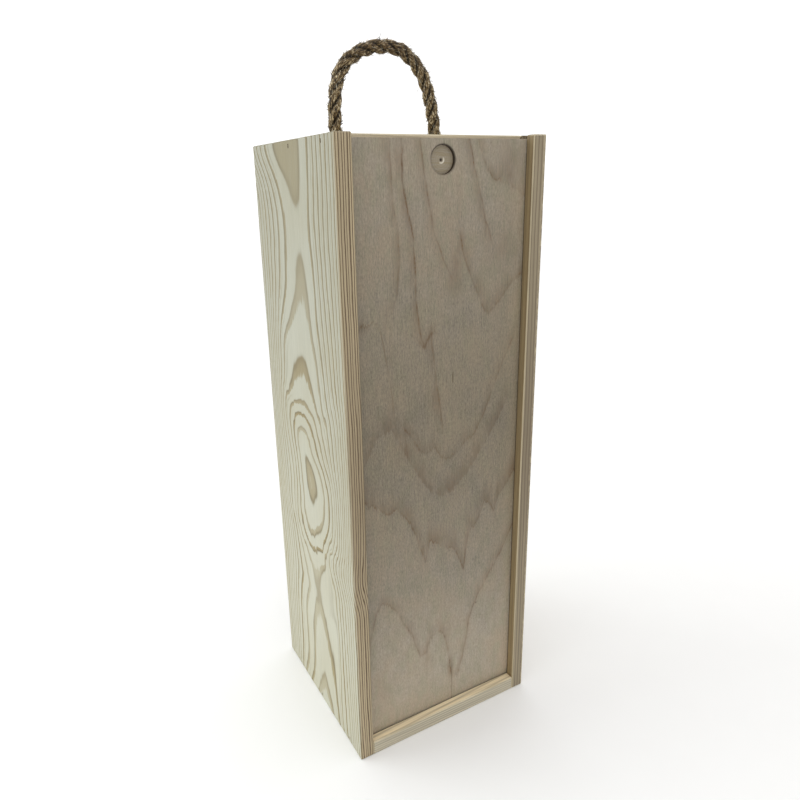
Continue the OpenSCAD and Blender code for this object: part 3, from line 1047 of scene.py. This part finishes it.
def birch_finish(name, across, down, seed, sheet_middle, figured):
    """Rotary-cut birch face, with the plies showing on the edges."""
    ply = Finish(name)
    x, y, z = object_place(ply)
    u = x * across[0] + across[1]
    v = z * -1.0 + down
    jag = ply.mottle(u * 1.3 + seed, v * 0.03, seed, 3.0, 0.7) - 0.5
    sway = ply.mottle(u / 20.0, v / 30.0, seed + 3.0, 2.0) - 0.5
    bent_v = v + jag * 9.0 + sway * 6.0
    bent_u = u + (ply.mottle(u / 5.0, v / 12.0, seed, 3.0, 0.6) - 0.5) * 2.4
    worn = ply.mottle(u / 7.0, v / 16.0, seed + 11.0, 2.0, 0.6).rise(0.3, 0.65)
    depth = 0.0
    if figured:
        for points, (start, end), *kind in level_veins:
            line = vein(ply, u, bent_v, points, *kind)
            depth = depth + line * u.rise(start - 2, start + 3) * u.fall(end - 3, end + 2)
        for points, (start, end), *kind in upright_veins:
            line = vein(ply, v, bent_u, points, *kind)
            depth = depth + line * v.rise(start - 3, start + 3) * v.fall(end - 5, end + 5)
        for middle, level, width, length, dark in patches:
            depth = depth + bent_u.bell(middle, width) * bent_v.bell(level, length) * dark
    else:
        hills = ply.mottle(u / 30.0 + seed, bent_v / 210.0, seed, 1.0, 0.4) * 7.0
        part = (hills + v / 160.0).part()
        band = part.rise(0.1, 0.6) * part.fall(0.6, 0.64)
        depth = part.bell(0.62, 0.035) * 0.35 + band * 0.22
    threads = ply.mottle(u * 2.6, v * 0.10, seed, 3.0, 0.65)
    hair = ply.mottle(u * 8.0, v * 0.30, seed + 4.0, 2.0, 0.6)
    strands = ply.mottle(u * 0.8, v * 0.018, seed + 5.0, 2.0)
    cloudy = ply.mottle(u / 22.0, v / 34.0, seed + 8.0, 4.0, 0.62)
    fleck = ply.mottle(u * 1.7, v * 0.5, seed + 2.0, 3.0, 0.8)
    green = ply.mottle(u / 7.0, v / 16.0, seed + 15.0, 3.0, 0.7)
    depth = depth * (worn * 0.95 + 0.30) * ((fleck - 0.5) * 4.2 + 1.0).most(0.0)
    colour = ply.mix(cloudy.rise(0.34, 0.66) * 0.7, birch_pale, birch_tint)
    colour = ply.mix(green.rise(0.42, 0.66) * 0.62, colour, birch_green)
    grain = (threads - 0.5) * 0.80 + (strands - 0.5) * 0.2 + (fleck - 0.5) * 1.25
    grain = grain + (hair - 0.5) * 0.5 + (cloudy - 0.5) * 0.65
    height = threads * 0.4 + strands * 0.2 + hair * 0.3
    if figured:
        # The veneer is browner and darker about the lid's middle; its paler foot is painted light
        # bounced up from the floor
        colour = ply.mix(v.bell(150.0, 95.0) * 0.5, colour, birch_middle)
        grain = grain - v.bell(160.0, 85.0) * 0.17 + v.rise(235.0, 345.0) * 0.36 - 0.045
        # Painted light along its right margin, against the shade of the groove wall; its top round
        # the recess is a little paler
        grain = grain + u.rise(93.0, 106.0) * 0.26 + v.fall(4.0, 60.0) * 0.07
    colour = ply.mix(depth, colour, birch_dark)
    colour = ply.toned(colour, grain + 1.0)
    pores = ply.mottle(u * 4.5 + 3.0, v * 0.30, seed + 1.0, 1.0).rise(0.68, 0.78)
    colour = ply.mix(pores * 0.3, colour, birch_dark)
    height = height - pores * 0.5
    # Edges: the middle ply runs across the other two, between dark glue lines
    facing = ply.parts(ply.coordinates("Normal"))
    front = abs(facing[1])
    upright_way = abs(facing[2]).rise(0.5, 0.8)
    inside = abs(y - sheet_middle)
    core = inside.fall(0.62, 0.70)
    open_end = core * (1.0 - upright_way) + (1.0 - core) * upright_way
    speck = ply.mottle(x * 1.6, y * 3.0, z * 1.6, 3.0, 0.7)
    edge = ply.mix(open_end, birch_core, birch_end)
    edge = ply.toned(edge, 0.8 + speck * 0.4)
    edge = ply.mix(inside.bell(0.66, 0.10) * 0.8, edge, glue_line)
    colour = ply.mix(front.fall(0.55, 0.8), colour, edge)
    if figured:
        slit = (u.bell(59.3, 0.45) * v.bell(124.0, 4.5)).rise(0.35, 0.8)
        mark = (u.bell(78.0, 0.8) * v.bell(275.0, 0.9)).rise(0.3, 0.9) * 0.7
        check = u.bell(60.2, 0.3) * v.rise(303.0, 318.0) * 0.55
        hurt = slit.most(mark).most(check)
        colour = ply.mix(hurt * 0.85, colour, glue_line)
        height = height - hurt * 2.0
        # The finger recess is cut down into the middle ply. Its wall and spur mark are dark, partly
        # scorched by the bit and partly painted shade; its rim has a dark ring, partly scorched and
        # partly a painted shadow that is darkest on its upper right, and a painted highlight lies
        # on the lower right of the spur mark
        right = x - recess_middle[0]
        up = z - recess_middle[1]
        radius = (right * right + up * up) ** 0.5
        sunk = (y + recess_face).rise(0.08, 0.3) * radius.fall(7.3, 7.5)
        cross_threads = ply.mottle(x * 0.10, y, z * 2.6, 3.0, 0.65)
        rounds = (radius * 5.5 + cross_threads * 3.0).sine()
        pit_floor = ply.mix(cross_threads.rise(0.3, 0.7), birch_core, birch_pale)
        pit_floor = ply.mix(rounds.rise(0.55, 1.0) * 0.25, pit_floor, birch_end)
        pit_floor = ply.mix(radius.rise(6.2, 6.95) * 0.5, pit_floor, birch_end)
        glint = radius.bell(1.5, 0.35) * (right - up).rise(-0.6, 1.2)
        pit_floor = ply.mix(glint, pit_floor, birch_glint)
        pit_wall = radius.rise(6.88, 6.98) * front.fall(0.4, 0.9)
        spur_mark = radius.fall(0.35, 1.1)
        pit_floor = ply.mix(pit_wall.most(spur_mark), pit_floor, burn_and_shade)
        # Painted shadow round the rim, darkest on its upper right
        rim = radius.bell(7.2, 0.42) * (((up + right * 0.5) / 7.0).rise(-1.3, 0.5) * 0.75 + 0.25)
        colour = ply.mix(rim * 0.9, colour, burn_and_shade)
        colour = ply.mix(sunk, colour, pit_floor)
        height = height * (1.0 - sunk) + (cross_threads * 0.6 + rounds * 0.12) * sunk
    return ply.surface(colour, 0.56 + (threads - 0.5) * 0.12, height, 0.07 * MM, 0.5)


recess_middle = (0.0, 338.0)
recess_face = 51.0
lid_birch = birch_finish("birch_lid", (1.0, 52.5), 349.0, 0.0, -49.0, True)
back_birch = birch_finish("birch_back", (-1.0, 52.5), 349.0, 21.0, 49.0, False)
for name, node, body, finish in (
    ("lid_planed", "sliding_lid", "lid", lid_birch),
    ("back_panel_cut", "back_panel", "box", back_birch),
):
    board = board_mesh(name, node, 0.1 * MM)
    board.data.materials.append(finish)
    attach(board, body)
    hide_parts(node)


# ------------------------------------------------------------
# Floor and light: a white floor in a white room, with one broad soft light
# from the left.
floor_mesh = bpy.data.meshes.new("floor")
reach = 6.0
floor_mesh.from_pydata(
    [(-reach, -reach, 0.0), (reach, -reach, 0.0), (reach, reach, 0.0), (-reach, reach, 0.0)],
    [],
    [(0, 1, 2, 3)],
)
floor = placed("floor", floor_mesh)
floor_finish = Finish("floor_white")
place = floor_finish.coordinates("Object")
speckle = floor_finish.cloud(place, 40.0)
matt = floor_finish.add(
    "ShaderNodeBsdfPrincipled",
    {
        "Base Color": floor_finish.mix(speckle, (0.905, 0.905, 0.905, 1), (0.89, 0.89, 0.89, 1)),
        "Roughness": 0.85,
        "Specular IOR Level": 0.2,
    },
)
far = floor_finish.vector("LENGTH", place, out="Value").rise(0.30, 0.85)
bright = floor_finish.add("ShaderNodeEmission", {"Color": (1, 1, 1, 1), "Strength": 1.05})
blended = floor_finish.add("ShaderNodeMixShader", {0: far, 1: matt, 2: bright})
floor_finish.add("ShaderNodeOutputMaterial", {"Surface": blended})
floor_mesh.materials.append(floor_finish.material)

world = bpy.data.worlds.new("white_room")
world.use_nodes = True
room = Tree(world.node_tree)
world.node_tree.nodes.clear()
seen = room.add("ShaderNodeLightPath")
upward = room.parts(room.coordinates("Generated"))[2]
glow = upward.most(0.0) * 1.5 + 0.10
room_white = (1.0, 0.995, 0.985, 1)
lit_room = room.add("ShaderNodeBackground", {"Color": room_white, "Strength": glow})
white_room = room.add("ShaderNodeBackground", {"Color": (1, 1, 1, 1), "Strength": 1.2})
both = room.add("ShaderNodeMixShader", {0: seen, 1: lit_room, 2: white_room})
room.add("ShaderNodeOutputWorld", {"Surface": both})
bpy.context.scene.world = world

window_place = Vector((-1.4, 0.8, 0.5))
window_target = Vector((0, 0, 0.15))
window = bpy.data.lights.new("window", "AREA")
window.shape = "RECTANGLE"
window.size, window.size_y = 1.2, 0.9
window.energy = 15.0
window.color = (0.93, 1.0, 0.99)
light = placed("window", window)
light.visible_camera = False
aim = (window_target - window_place).to_track_quat("-Z", "Y")
light.matrix_world = Matrix.Translation(window_place) @ aim.to_matrix().to_4x4()
bpy.context.scene.view_settings.view_transform = "Standard"
